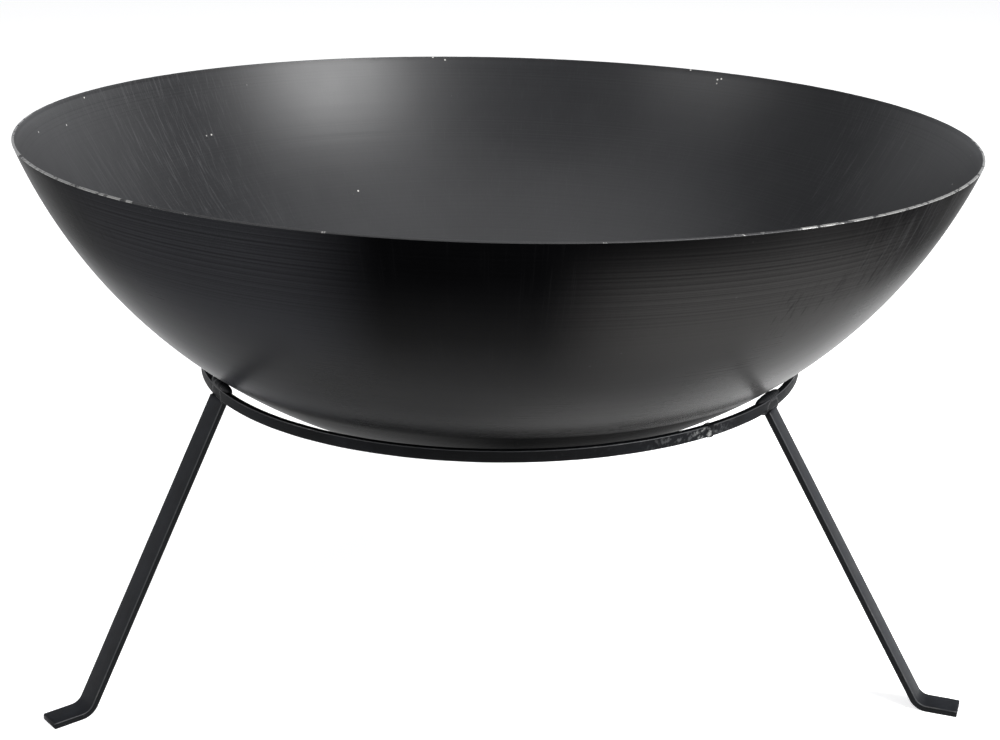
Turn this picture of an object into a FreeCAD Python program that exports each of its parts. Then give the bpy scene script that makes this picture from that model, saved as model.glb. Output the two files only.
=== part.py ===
"""Outdoor steel fire bowl on a welded three-leg ring stand.

A spun sheet bowl lies loose in a hoop of flat bar. Three flat-bar legs are welded under the hoop with
their outer faces flush with its own, lean outwards and are bent at the bottom into flat feet. The bowl
does not touch the hoop itself: it rests on the weld beads that rise over the hoop's top edge at the
three legs. The beads are not equally high, so the bowl lies a few millimetres off the hoop's axis.

Frame: millimetres, +Z up, origin on the hoop's axis at floor level. -Y is the front, between two legs.
"""
import FreeCAD, Part
import math
import os
import re

import Sketcher

os.makedirs("parts", exist_ok=True)
doc = FreeCAD.newDocument("FireBowl")

# Driving dimensions, in millimetres and degrees.
DIMENSIONS = {
    "rim_radius": 375,  # outer edge of the bowl's rim
    "rim_height": 419,  # rim above the floor, with the bowl level
    "bowl_depth": 255,  # rim down to the lowest outside point
    "floor_radius": 412.5,  # radius of the bowl's spherical floor, outside
    "wall_radius": 385,  # radius of its slightly tighter wall, outside
    "sheet_gauge": 2,
    "bowl_tilt": 1,  # the loose bowl lies a little askew, its -X side high
    "bowl_shift": 1.2,  # middle of its floor's sphere from the hoop's axis, towards +X
    "hoop_radius": 246,  # outer face of the hoop
    "hoop_thickness": 5,
    "hoop_width": 9,
    "hoop_underside": 228,
    "closing_azimuth": 311,  # where the hoop's two ends meet
    "closing_gap": 2,
    "closing_bead": 7,  # length of the closing weld along the hoop
    "closing_proud": 0.7,  # its height above the bar's faces
    "closing_rounding": 0.63,
    "leg_width": 20,
    "leg_thickness": 5,
    "leg_lean": 30,  # from the vertical
    "leg_turn": 12,  # each leg's plane is turned from the radius by this much
    "bend_radius": 10,  # inside of the bend above the foot
    "foot_length": 23,  # flat part of the foot
    "weld_radius": 4.5,
    "weld_corner": 6,  # radius of the bead's middle line where it turns across the hoop
    "weld_inset": 4.2,  # bead's middle inside the hoop's outer face
    "weld_overlap": 1,  # bead's middle in from the leg's side face
    "weld_tail": 3.5,  # bead's end below the hoop's underside
    "weld_end_rounding": 2.4,
    "seat_length": 40,  # of the low bead along the hoop's top edge
    "seat_radius": 4.2,
    "seat_rounding": 3,
    "seat_clearance": 0.3,  # left between the bead and the bowl
}
# Azimuth of each leg's joint on the hoop, counter-clockwise from +X seen from above.
LEG_AZIMUTHS = {"leg_front_left": 210, "leg_front_right": 330, "leg_back": 90}

# Vertex numbers that a sketch constraint uses.
START, END, CENTRE = 1, 2, 3
# Geometry numbers of a sketch's own axes and origin.
H_AXIS, V_AXIS, ORIGIN = -1, -2, -1
# Two heights closer than this, in millimetres, count as the same.
TOUCHING = 0.01

sheet = doc.addObject("Spreadsheet::Sheet", "Dimensions")
for row, (alias, value) in enumerate(DIMENSIONS.items(), start=1):
    sheet.set(f"A{row}", alias)
    sheet.set(f"B{row}", str(value))
    sheet.setAlias(f"B{row}", alias)
doc.recompute()

nodes = []


def dim(alias):
    """Value of one driving dimension, read from the sheet."""
    return float(sheet.get(alias))


def bound(expression):
    """The expression with each driving dimension written as a reference to the sheet."""
    aliases = "|".join(DIMENSIONS)
    return re.sub(rf"\b({aliases})\b", r"<<Dimensions>>.\1", expression)


def new_body(label):
    body = doc.addObject("PartDesign::Body", label)
    body.Label = label
    return body


def origin_plane(body, role):
    """One of the body's own origin planes, found by its role."""
    for feature in body.Origin.OriginFeatures:
        if feature.Role == role:
            return feature
    raise ValueError(role)


def new_sketch(body, name, role):
    """Sketch lying on one of the body's own origin planes."""
    sketch = body.newObject("Sketcher::SketchObject", name)
    sketch.AttachmentSupport = [(origin_plane(body, role), "")]
    sketch.MapMode = "FlatFace"
    return sketch


def add_line(sketch, start, end):
    line = Part.LineSegment(FreeCAD.Vector(*start, 0), FreeCAD.Vector(*end, 0))
    return sketch.addGeometry(line, False)


def add_arc(sketch, centre, radius, first, last):
    """Counter-clockwise arc between two angles in degrees."""
    circle = Part.Circle(FreeCAD.Vector(*centre, 0), FreeCAD.Vector(0, 0, 1), radius)
    arc = Part.ArcOfCircle(circle, math.radians(first), math.radians(last))
    return sketch.addGeometry(arc, False)


def fix(sketch, *constraint):
    sketch.addConstraint(Sketcher.Constraint(*constraint))


def drive(sketch, name, expression, *constraint):
    """Adds a dimensional constraint and binds it to the driving dimensions."""
    index = sketch.addConstraint(Sketcher.Constraint(*constraint))
    sketch.renameConstraint(index, name)
    sketch.setExpression(f"Constraints.{name}", bound(expression))


def finish_sketch(sketch):
    """Solves the sketch and stops if anything in it is loose or in conflict."""
    doc.recompute()
    if sketch.solve() != 0 or not sketch.FullyConstrained:
        raise RuntimeError(f"{sketch.Name} is not fully constrained")


def revolve(body, name, sketch, angle):
    """Revolves a sketch about the vertical axis, half of the angle to each side of its plane."""
    turned = body.newObject("PartDesign::Revolution", name)
    turned.Profile = sketch
    turned.ReferenceAxis = (sketch, ["V_Axis"])
    turned.Midplane = True
    turned.setExpression("Angle", bound(angle))
    doc.recompute()
    return turned


def rectangle(sketch, left, bottom, width, height):
    """Rectangle in a sketch, placed and sized by four expressions of the driving dimensions."""
    corners = [(100, 100), (110, 100), (110, 110), (100, 110)]
    sides = [add_line(sketch, corners[i], corners[(i + 1) % 4]) for i in range(4)]
    for i in range(4):
        fix(sketch, "Coincident", sides[i], END, sides[(i + 1) % 4], START)
        fix(sketch, ("Horizontal", "Vertical")[i % 2], sides[i])
    drive(sketch, "left", left, "DistanceX", ORIGIN, START, sides[0], START, 100)
    drive(sketch, "bottom", bottom, "DistanceY", ORIGIN, START, sides[0], START, 100)
    drive(sketch, "width", width, "DistanceX", sides[0], START, sides[0], END, 10)
    drive(sketch, "height", height, "DistanceY", sides[1], START, sides[1], END, 10)


def turn_about_z(item, azimuth):
    """Turns an object about the hoop's axis to an azimuth given as an expression."""
    item.Placement = FreeCAD.Placement(FreeCAD.Vector(), FreeCAD.Rotation(FreeCAD.Vector(0, 0, 1), 1))
    item.setExpression("Placement.Rotation.Angle", bound(azimuth))


def make_bowl():
    """Spun bowl: a spherical floor and a tighter wall, tangent to each other, cut square at the rim.

    The body's own origin is the centre of the floor's sphere, so a tilt about it keeps the bowl seated.
    """
    body = new_body("bowl")
    floor, wall, gauge = dim("floor_radius"), dim("wall_radius"), dim("sheet_gauge")
    rim = (dim("rim_radius"), dim("bowl_depth") - floor)
    # Angle from straight down at which the floor ends, where both arcs share one tangent.
    reach, shift = math.hypot(*rim), floor - wall
    cosine = (reach**2 + shift**2 - wall**2) / (2 * reach * shift)
    floor_end = math.degrees(math.atan2(rim[0], -rim[1]) - math.acos(cosine)) - 90
    wall_centre = (shift * math.cos(math.radians(floor_end)), shift * math.sin(math.radians(floor_end)))
    wall_end = math.degrees(math.atan2(rim[1] - wall_centre[1], rim[0] - wall_centre[0]))
    inner_rim = (
        wall_centre[0] + (wall - gauge) * math.cos(math.radians(wall_end)),
        wall_centre[1] + (wall - gauge) * math.sin(math.radians(wall_end)),
    )

    profile = new_sketch(body, "BowlProfile", "XZ_Plane")
    floor_out = add_arc(profile, (0, 0), floor, -90, floor_end)
    wall_out = add_arc(profile, wall_centre, wall, floor_end, wall_end)
    rim_edge = add_line(profile, rim, inner_rim)
    wall_in = add_arc(profile, wall_centre, wall - gauge, floor_end, wall_end)
    floor_in = add_arc(profile, (0, 0), floor - gauge, -90, floor_end)
    axis_edge = add_line(profile, (0, gauge - floor), (0, -floor))
    fix(profile, "Coincident", floor_out, CENTRE, ORIGIN, START)
    fix(profile, "Coincident", floor_in, CENTRE, ORIGIN, START)
    fix(profile, "Coincident", wall_in, CENTRE, wall_out, CENTRE)
    fix(profile, "Tangent", floor_out, END, wall_out, START)
    fix(profile, "Tangent", floor_in, END, wall_in, START)
    fix(profile, "Coincident", wall_out, END, rim_edge, START)
    fix(profile, "Coincident", rim_edge, END, wall_in, END)
    fix(profile, "PointOnObject", wall_out, CENTRE, rim_edge)
    fix(profile, "PointOnObject", floor_out, START, V_AXIS)
    fix(profile, "PointOnObject", floor_in, START, V_AXIS)
    fix(profile, "Coincident", floor_in, START, axis_edge, START)
    fix(profile, "Coincident", axis_edge, END, floor_out, START)
    drive(profile, "floor_radius", "floor_radius", "Radius", floor_out, floor)
    drive(profile, "wall_radius", "wall_radius", "Radius", wall_out, wall)
    drive(profile, "gauge", "sheet_gauge", "Distance", rim_edge, gauge)
    drive(profile, "rim_x", "rim_radius", "DistanceX", ORIGIN, START, wall_out, END, rim[0])
    rim_drop = "floor_radius - bowl_depth"
    drive(profile, "rim_drop", rim_drop, "DistanceY", wall_out, END, ORIGIN, START, -rim[1])
    finish_sketch(profile)
    revolve(body, "BowlWall", profile, "360")

    body.Placement = FreeCAD.Placement(FreeCAD.Vector(), FreeCAD.Rotation(FreeCAD.Vector(0, 1, 0), 1))
    body.setExpression("Placement.Base.x", bound("bowl_shift"))
    body.setExpression("Placement.Base.z", bound("rim_height - bowl_depth + floor_radius"))
    body.setExpression("Placement.Rotation.Angle", bound("bowl_tilt"))
    doc.recompute()
    return body


def make_hoop():
    """Flat bar bent into a hoop on its edge; its two ends stop a narrow gap apart."""
    body = new_body("support_ring")
    section = new_sketch(body, "HoopSection", "XZ_Plane")
    rectangle(section, "hoop_radius - hoop_thickness", "hoop_underside", "hoop_thickness", "hoop_width")
    finish_sketch(section)
    revolve(body, "HoopBar", section, "360 - closing_gap / hoop_radius * 180 / pi")
    turn_about_z(body, "closing_azimuth + 180")
    doc.recompute()
    return body


def make_closing_weld(hoop):
    """Butt weld that closes the hoop: it fills the gap and stands a little proud all round."""
    bead = new_body("ClosingBead")
    section = new_sketch(bead, "ClosingSection", "XZ_Plane")
    rectangle(
        section,
        "hoop_radius - hoop_thickness - closing_proud",
        "hoop_underside - closing_proud",
        "hoop_thickness + 2 * closing_proud",
        "hoop_width + 2 * closing_proud",
    )
    finish_sketch(section)
    band = revolve(bead, "ClosingBand", section, "closing_bead / hoop_radius * 180 / pi")
    rounded = bead.newObject("PartDesign::Fillet", "ClosingRounding")
    rounded.Base = (band, [f"Edge{i + 1}" for i in range(len(band.Shape.Edges))])
    rounded.setExpression("Radius", bound("closing_rounding"))
    turn_about_z(bead, "closing_azimuth")
    doc.recompute()

    weld = doc.addObject("Part::Cut", "ring_closing_weld")
    weld.Label = "ring_closing_weld"
    weld.Base = bead
    weld.Tool = hoop
    doc.recompute()
    return weld


def make_leg(label, azimuth):
    """Flat bar that leans outwards and is bent into a foot; its top end butts under the hoop.

    The leg lies in the body's own XZ direction, beside the hoop's axis, because its plane is turned.
    """
    body = new_body(label)
    profile = new_sketch(body, f"{label}_profile", "XZ_Plane")
    lean, turn = math.radians(dim("leg_lean")), math.radians(dim("leg_turn"))
    thickness, inside = dim("leg_thickness"), dim("bend_radius")
    outside = inside + thickness
    top = dim("hoop_underside")
    top_out = dim("hoop_radius") * math.cos(turn)
    top_in = top_out - thickness / math.cos(lean)
    # Centre of the bend: one outer bend radius above the floor and from the leg's inner face.
    bend_x = top_in + (outside * (1 - math.sin(lean)) + top * math.sin(lean)) / math.cos(lean)
    toe = bend_x + dim("foot_length")

    def on_bend(radius):
        """Point of the bend where the leg's straight part starts."""
        return bend_x - radius * math.cos(lean), outside - radius * math.sin(lean)

    arc_start = 180 + dim("leg_lean")
    inner = add_line(profile, on_bend(outside), (top_in, top))
    under_bend = add_arc(profile, (bend_x, outside), outside, arc_start, 270)
    sole = add_line(profile, (bend_x, 0), (toe, 0))
    tip = add_line(profile, (toe, 0), (toe, thickness))
    instep = add_line(profile, (toe, thickness), (bend_x, thickness))
    over_bend = add_arc(profile, (bend_x, outside), inside, arc_start, 270)
    outer = add_line(profile, on_bend(inside), (top_out, top))
    cap = add_line(profile, (top_out, top), (top_in, top))
    fix(profile, "Tangent", inner, START, under_bend, START)
    fix(profile, "Tangent", under_bend, END, sole, START)
    fix(profile, "Coincident", sole, END, tip, START)
    fix(profile, "Coincident", tip, END, instep, START)
    fix(profile, "Tangent", instep, END, over_bend, END)
    fix(profile, "Tangent", over_bend, START, outer, START)
    fix(profile, "Coincident", outer, END, cap, START)
    fix(profile, "Coincident", cap, END, inner, END)
    fix(profile, "Horizontal", sole)
    fix(profile, "Vertical", tip)
    fix(profile, "Horizontal", instep)
    fix(profile, "Parallel", inner, outer)
    fix(profile, "Horizontal", cap)
    fix(profile, "Coincident", over_bend, CENTRE, under_bend, CENTRE)
    fix(profile, "PointOnObject", sole, START, H_AXIS)
    drive(profile, "inside_bend", "bend_radius", "Radius", over_bend, inside)
    drive(profile, "outside_bend", "bend_radius + leg_thickness", "Radius", under_bend, outside)
    drive(profile, "foot", "foot_length", "Distance", sole, dim("foot_length"))
    drive(profile, "lean", "(90 + leg_lean) * 1 deg", "Angle", inner, math.pi / 2 + lean)
    drive(profile, "top", "hoop_underside", "DistanceY", ORIGIN, START, cap, END, top)
    top_in_text = "hoop_radius * cos(leg_turn) - leg_thickness / cos(leg_lean)"
    drive(profile, "top_in", top_in_text, "DistanceX", ORIGIN, START, cap, END, top_in)
    profile.setExpression("AttachmentOffset.Base.z", bound("hoop_radius * sin(leg_turn)"))
    finish_sketch(profile)

    bar = body.newObject("PartDesign::Pad", f"{label}_bar")
    bar.Profile = profile
    bar.SideType = "Symmetric"
    bar.setExpression("Length", bound("leg_width"))
    turn_about_z(body, f"{azimuth} + leg_turn")
    doc.recompute()
    return body


def make_leg_weld(leg, hoop, azimuth):
    """Bead up one side of the leg, across the hoop's top edge and down the other side.

    The part across the top runs on along the hoop to both sides and is the bowl's seat: it ends just
    short of the bowl's spherical floor.
    """
    label = f"{leg.Label}_weld"
    bead = new_body(f"{label}_bead")
    path = new_sketch(bead, f"{label}_path", "YZ_Plane")
    radius, corner = dim("weld_radius"), dim("weld_corner")
    ring_path = dim("hoop_radius") - dim("weld_inset")
    half = dim("leg_width") / 2 / math.cos(math.radians(dim("leg_turn"))) - dim("weld_overlap")
    bottom = dim("hoop_underside") - dim("weld_tail")
    centre_height = dim("rim_height") - dim("bowl_depth") + dim("floor_radius")
    clear_radius = dim("floor_radius") + radius + dim("seat_clearance")
    off_x = ring_path * math.cos(math.radians(azimuth)) - dim("bowl_shift")
    off_y = ring_path * math.sin(math.radians(azimuth))
    seat = centre_height - math.sqrt(clear_radius**2 - off_x**2 - off_y**2)
    rise = add_line(path, (half, bottom), (half, seat - corner))
    corner_a = add_arc(path, (half - corner, seat - corner), corner, 0, 90)
    across = add_line(path, (half - corner, seat), (corner - half, seat))
    corner_b = add_arc(path, (corner - half, seat - corner), corner, 90, 180)
    fall = add_line(path, (-half, seat - corner), (-half, bottom))
    fix(path, "Tangent", rise, END, corner_a, START)
    fix(path, "Tangent", corner_a, END, across, START)
    fix(path, "Tangent", across, END, corner_b, START)
    fix(path, "Tangent", corner_b, END, fall, START)
    fix(path, "Vertical", rise)
    fix(path, "Vertical", fall)
    fix(path, "Horizontal", across)
    fix(path, "Symmetric", rise, START, fall, END, V_AXIS)
    drive(path, "corner_a", "weld_corner", "Radius", corner_a, corner)
    drive(path, "corner_b", "weld_corner", "Radius", corner_b, corner)
    half_text = "leg_width / 2 / cos(leg_turn) - weld_overlap"
    drive(path, "half", half_text, "DistanceX", ORIGIN, START, rise, START, half)
    drive(path, "bottom", "hoop_underside - weld_tail", "DistanceY", ORIGIN, START, rise, START, bottom)
    off_x_text = f"((hoop_radius - weld_inset) * cos({azimuth}) - bowl_shift)"
    off_y_text = f"((hoop_radius - weld_inset) * sin({azimuth}))"
    reach_text = f"(floor_radius + weld_radius + seat_clearance)^2 - {off_x_text}^2 - {off_y_text}^2"
    seat_text = f"rim_height - bowl_depth + floor_radius - sqrt({reach_text})"
    drive(path, "seat", seat_text, "DistanceY", ORIGIN, START, across, START, seat)
    across_text = "hoop_radius - weld_inset"
    path.setExpression("AttachmentOffset.Base.z", bound(across_text))
    finish_sketch(path)

    seat_section = new_sketch(bead, f"{label}_seat_section", "XZ_Plane")
    seat_circle = Part.Circle(FreeCAD.Vector(ring_path, seat, 0), FreeCAD.Vector(0, 0, 1), dim("seat_radius"))
    edge = seat_section.addGeometry(seat_circle)
    drive(seat_section, "seat_radius", "seat_radius", "Radius", edge, dim("seat_radius"))
    drive(seat_section, "x", across_text, "DistanceX", ORIGIN, START, edge, CENTRE, ring_path)
    drive(seat_section, "z", seat_text, "DistanceY", ORIGIN, START, edge, CENTRE, seat)
    finish_sketch(seat_section)
    seat_bar = bead.newObject("PartDesign::Pad", f"{label}_seat")
    seat_bar.Profile = seat_section
    seat_bar.SideType = "Symmetric"
    seat_bar.setExpression("Length", bound("seat_length"))
    doc.recompute()
    rims = []
    for number, edge in enumerate(seat_bar.Shape.Edges, start=1):
        if isinstance(edge.Curve, Part.Circle):
            rims.append(f"Edge{number}")
    round_seat = bead.newObject("PartDesign::Fillet", f"{label}_seat_ends")
    round_seat.Base = (seat_bar, rims)
    round_seat.setExpression("Radius", bound("seat_rounding"))
    doc.recompute()

    section = new_sketch(bead, f"{label}_section", "XY_Plane")
    round_wire = Part.Circle(FreeCAD.Vector(ring_path, half, 0), FreeCAD.Vector(0, 0, 1), radius)
    edge = section.addGeometry(round_wire)
    drive(section, "weld_radius", "weld_radius", "Radius", edge, radius)
    drive(section, "x", across_text, "DistanceX", ORIGIN, START, edge, CENTRE, ring_path)
    drive(section, "y", half_text, "DistanceY", ORIGIN, START, edge, CENTRE, half)
    section.setExpression("AttachmentOffset.Base.z", bound("hoop_underside - weld_tail"))
    finish_sketch(section)

    run = bead.newObject("PartDesign::AdditivePipe", f"{label}_run")
    run.Profile = section
    run.Spine = path
    doc.recompute()
    ends = []
    for number, edge in enumerate(run.Shape.Edges, start=1):
        if edge.BoundBox.ZMax < bottom + TOUCHING:
            ends.append(f"Edge{number}")
    rounded = bead.newObject("PartDesign::Fillet", f"{label}_ends")
    rounded.Base = (run, ends)
    rounded.setExpression("Radius", bound("weld_end_rounding"))
    turn_about_z(bead, f"{azimuth}")
    doc.recompute()

    off_hoop = doc.addObject("Part::Cut", f"{label}_off_hoop")
    off_hoop.Base = bead
    off_hoop.Tool = hoop
    weld = doc.addObject("Part::Cut", label)
    weld.Label = label
    weld.Base = off_hoop
    weld.Tool = leg
    doc.recompute()
    return weld


nodes.append(make_bowl())
support_ring = make_hoop()
nodes.append(support_ring)
nodes.append(make_closing_weld(support_ring))
for leg_label, leg_azimuth in LEG_AZIMUTHS.items():
    new_leg = make_leg(leg_label, leg_azimuth)
    nodes.append(new_leg)
    nodes.append(make_leg_weld(new_leg, support_ring, leg_azimuth))

doc.recompute()
for item in doc.Objects:
    if "Invalid" in item.State or "Error" in item.State:
        raise RuntimeError(f"{item.Name}: {item.State}")
for node in nodes:
    if node.Shape.isNull() or not node.Shape.isValid():
        raise RuntimeError(f"{node.Label} has no valid shape")
for node in nodes:
    node.Shape.exportStep(f"parts/{node.Label}.step")
    box = node.Shape.BoundBox
    low = (round(box.XMin, 1), round(box.YMin, 1), round(box.ZMin, 1))
    high = (round(box.XMax, 1), round(box.YMax, 1), round(box.ZMax, 1))
    print(node.Label, len(node.Shape.Solids), round(node.Shape.Volume / 1000, 2), "cm3", low, high)
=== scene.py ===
"""Looks for the fire bowl on its welded ring stand, in metres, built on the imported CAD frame."""
import math

import bpy
from mathutils import Matrix, Vector, noise


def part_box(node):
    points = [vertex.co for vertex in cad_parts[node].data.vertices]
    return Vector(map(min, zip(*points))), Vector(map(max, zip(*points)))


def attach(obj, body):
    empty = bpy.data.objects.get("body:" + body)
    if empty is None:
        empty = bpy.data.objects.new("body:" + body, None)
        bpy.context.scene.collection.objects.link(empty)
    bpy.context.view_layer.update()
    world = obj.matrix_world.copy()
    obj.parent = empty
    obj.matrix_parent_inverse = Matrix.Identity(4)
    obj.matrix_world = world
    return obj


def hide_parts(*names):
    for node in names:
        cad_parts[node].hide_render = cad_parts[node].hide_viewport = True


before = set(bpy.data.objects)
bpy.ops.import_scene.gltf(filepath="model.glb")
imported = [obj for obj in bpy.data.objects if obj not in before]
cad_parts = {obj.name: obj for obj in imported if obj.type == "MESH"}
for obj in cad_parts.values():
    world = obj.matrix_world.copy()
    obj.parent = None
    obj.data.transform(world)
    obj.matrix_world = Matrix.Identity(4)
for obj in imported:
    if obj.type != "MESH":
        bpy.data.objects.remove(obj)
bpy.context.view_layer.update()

# The bowl and the stand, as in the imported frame.
RIM_RADIUS = 0.375
BOWL_DEPTH = 0.255
FLOOR_RADIUS = 0.4125
WALL_RADIUS = 0.385
GAUGE = 0.002
BOWL_TILT = math.radians(1)
BOWL_SHIFT = 0.0012
RIM_ROUNDING = 0.0005
HOOP_THICKNESS = 0.005
CLOSING_AZIMUTH = math.radians(311)
CLOSING_GAP = 0.002
CLOSING_BEAD = 0.007
CLOSING_PROUD = 0.0007
LEG_WIDTH = 0.020
LEG_THICKNESS = 0.005
LEG_LEAN = math.radians(30)
LEG_TURN = math.radians(12)
BEND_RADIUS = 0.010
FOOT_LENGTH = 0.023
WELD_RADIUS = 0.0045
WELD_CORNER = 0.006
WELD_INSET = 0.0042
WELD_OVERLAP = 0.001
WELD_END_INSET = 0.0006
GROUND_PROUD = 0.0001
SEAT_LENGTH = 0.040
SEAT_RADIUS = 0.0042
SEAT_END_INSET = 0.0004
SEAT_DROP = 0.0003
BAR_CORNER = 0.0006
TOE_ARRIS = 0.0005
LEG_AZIMUTHS = {"leg_front_left": 210, "leg_front_right": 330, "leg_back": 90}

# Places of marks, wear and painted light and shade on the bowl, in degrees round its axis: 270 is the front,
# 0 the right, 180 the left.
# DARK_FRONT, COOL_LEFT, WARM_RIGHT, GREY_LEFT, GREY_RIGHT and the two places of less reflection set painted
# shade and painted reflection, not wear.
DARK_FRONT = 268
RUBBED_LEFT, RUBBED_RIGHT = 206, 332
COOL_LEFT, WARM_RIGHT = 212, 308
GREY_LEFT, GREY_RIGHT = 240, 301
LESS_REFLECTION_LEFT, LESS_REFLECTION_RIGHT = 222, 324
SHEEN_LEFT, MATT_LEFT = 241, 252
SCORED_RIGHT = 309
SCRATCHED_INSIDE_LEFT, SCRATCHED_INSIDE_RIGHT = 165, 12
PALE_INSIDE_LEFT, PALE_INSIDE_RIGHT = 184, 0
BARE_RIM_LEFT, BARE_RIM_RIGHT = 206, 330
# The same for the hoop: its black front is painted shade, its scrapes are wear.
BLACK_HOOP_FRONT, SCRAPED_HOOP, SCRAPED_BRIGHT = 274, 307, 309.5

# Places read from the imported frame.
BOWL_CENTRE = Vector((BOWL_SHIFT, 0.0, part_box("bowl")[0].z + FLOOR_RADIUS))
HOOP_LOW, HOOP_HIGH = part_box("support_ring")
HOOP_RADIUS = HOOP_HIGH.x
HOOP_UNDERSIDE, HOOP_TOP = HOOP_LOW.z, HOOP_HIGH.z
HOOP_MIDDLE_RADIUS = HOOP_RADIUS - HOOP_THICKNESS / 2
HOOP_MIDDLE_HEIGHT = (HOOP_TOP + HOOP_UNDERSIDE) / 2
HOOP_HALF_HEIGHT = (HOOP_TOP - HOOP_UNDERSIDE) / 2


def bowl_arcs():
    """Where the floor's sphere ends, and the centre and end of the tighter arc that goes on to the rim."""
    rim = (RIM_RADIUS, BOWL_DEPTH - FLOOR_RADIUS)
    shift = FLOOR_RADIUS - WALL_RADIUS
    reach = math.hypot(*rim)
    cosine = (reach**2 + shift**2 - WALL_RADIUS**2) / (2 * reach * shift)
    floor_end = math.atan2(rim[0], -rim[1]) - math.acos(cosine)
    centre = (shift * math.sin(floor_end), -shift * math.cos(floor_end))
    wall_end = math.atan2(rim[0] - centre[0], centre[1] - rim[1])
    return floor_end, centre, wall_end


FLOOR_END, WALL_CENTRE, WALL_END = bowl_arcs()
ARC_LENGTH = FLOOR_RADIUS * FLOOR_END + WALL_RADIUS * (WALL_END - FLOOR_END)


# ---------------------------------------------------------------- shader helpers
class Nodes:
    """Short-hand for a material's node tree."""

    def __init__(self, name):
        self.material = bpy.data.materials.new(name)
        self.material.use_nodes = True
        self.tree = self.material.node_tree
        self.tree.nodes.clear()

    def add(self, kind, inputs=None, **settings):
        node = self.tree.nodes.new(kind)
        for key, value in settings.items():
            setattr(node, key, value)
        for key, value in (inputs or {}).items():
            if isinstance(value, bpy.types.NodeSocket):
                self.tree.links.new(value, node.inputs[key])
            else:
                node.inputs[key].default_value = value
        return node

    def maths(self, operation, *values, clamp=False):
        node = self.add("ShaderNodeMath", dict(enumerate(values)), operation=operation, use_clamp=clamp)
        return node.outputs[0]

    def times(self, first, second):
        return self.maths("MULTIPLY", first, second)

    def either(self, first, second):
        """The larger of two values."""
        return self.maths("MAXIMUM", first, second)

    def noise(self, scale, detail=4.0, roughness=0.55, vector=None, w=None):
        inputs = {"Scale": scale, "Detail": detail, "Roughness": roughness}
        if vector is not None:
            inputs["Vector"] = vector
        if w is not None:
            inputs["W"] = w
        dimensions = "1D" if w is not None else "3D"
        return self.add("ShaderNodeTexNoise", inputs, noise_dimensions=dimensions).outputs["Fac"]

    def speckle(self, vector, scale, outer, inner):
        """Small round dots, 1 inside and 0 outside."""
        cells = self.add("ShaderNodeTexVoronoi", {"Vector": vector, "Scale": scale})
        return self.ramp(cells.outputs["Distance"], outer, inner)

    def direction_round_axis(self, point):
        """Level unit vector from the vertical axis to the point."""
        flat = self.add("ShaderNodeVectorMath", {0: point, 1: (1.0, 1.0, 0.0)}, operation="MULTIPLY")
        return self.add("ShaderNodeVectorMath", {0: flat.outputs[0]}, operation="NORMALIZE").outputs[0]

    def ramp(self, value, low, high, to_low=0.0, to_high=1.0, smooth=False):
        """Value from low..high spread over to_low..to_high and clamped."""
        node = self.add(
            "ShaderNodeMapRange",
            {"Value": value, "From Min": low, "From Max": high, "To Min": to_low, "To Max": to_high},
            interpolation_type="SMOOTHSTEP" if smooth else "LINEAR",
        )
        return node.outputs["Result"]

    def mix(self, factor, first, second):
        node = self.add("ShaderNodeMix", data_type="RGBA")
        for socket, value in ((node.inputs[0], factor), (node.inputs[6], first), (node.inputs[7], second)):
            if isinstance(value, bpy.types.NodeSocket):
                self.tree.links.new(value, socket)
            else:
                socket.default_value = value if socket is node.inputs[0] else (*value, 1.0)
        return node.outputs[2]

    def bump(self, height, distance, strength=1.0, normal=None):
        inputs = {"Height": height, "Distance": distance, "Strength": strength}
        if normal is not None:
            inputs["Normal"] = normal
        return self.add("ShaderNodeBump", inputs).outputs["Normal"]

    def finish(self, colour, rough, normal=None, others=None):
        """The finished material; others holds any more of the Principled shader's inputs by name."""
        inputs = {"Base Color": colour, "Roughness": rough, **(others or {})}
        if normal is not None:
            inputs["Normal"] = normal
        shader = self.add("ShaderNodeBsdfPrincipled", inputs)
        output = self.add("ShaderNodeOutputMaterial")
        self.tree.links.new(shader.outputs[0], output.inputs["Surface"])
        return self.material


def bowl_coordinates(n):
    """About the bowl's own axis: the point, its direction round the axis and its arc.

    The arc is in metres along the sheet from its pole. The hoop is at about 0.27, the rim at ARC_LENGTH.
    """
    level = n.add("ShaderNodeTexCoord").outputs["Object"]
    own = {"Vector": level, "Location": BOWL_CENTRE, "Rotation": (0.0, BOWL_TILT, 0.0)}
    point = n.add("ShaderNodeMapping", own, vector_type="TEXTURE").outputs["Vector"]
    uv = n.add("ShaderNodeSeparateXYZ", {"Vector": n.add("ShaderNodeUVMap", uv_map="UVMap").outputs["UV"]})
    return point, n.direction_round_axis(point), uv.outputs["Y"]


def streak_vector(n, around, arc, turns, along, slant=0.0):
    """Coordinates stretched for marks that run from the rim towards the floor, without a seam."""
    split = n.add("ShaderNodeSeparateXYZ", {"Vector": around})
    lean = n.times(arc, slant)
    x = n.times(split.outputs["X"], turns)
    y = n.maths("MULTIPLY_ADD", split.outputs["Y"], turns, lean)
    z = n.times(arc, along)
    return n.add("ShaderNodeCombineXYZ", {"X": x, "Y": y, "Z": z}).outputs[0]


def near_azimuth(n, around, azimuth, inner, outer):
    """1 within inner degrees of an azimuth and 0 beyond outer degrees."""
    direction = (math.cos(math.radians(azimuth)), math.sin(math.radians(azimuth)), 0.0)
    along = n.add("ShaderNodeVectorMath", {0: around, 1: direction}, operation="DOT_PRODUCT").outputs["Value"]
    return n.ramp(along, math.cos(math.radians(outer)), math.cos(math.radians(inner)), smooth=True)


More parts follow.
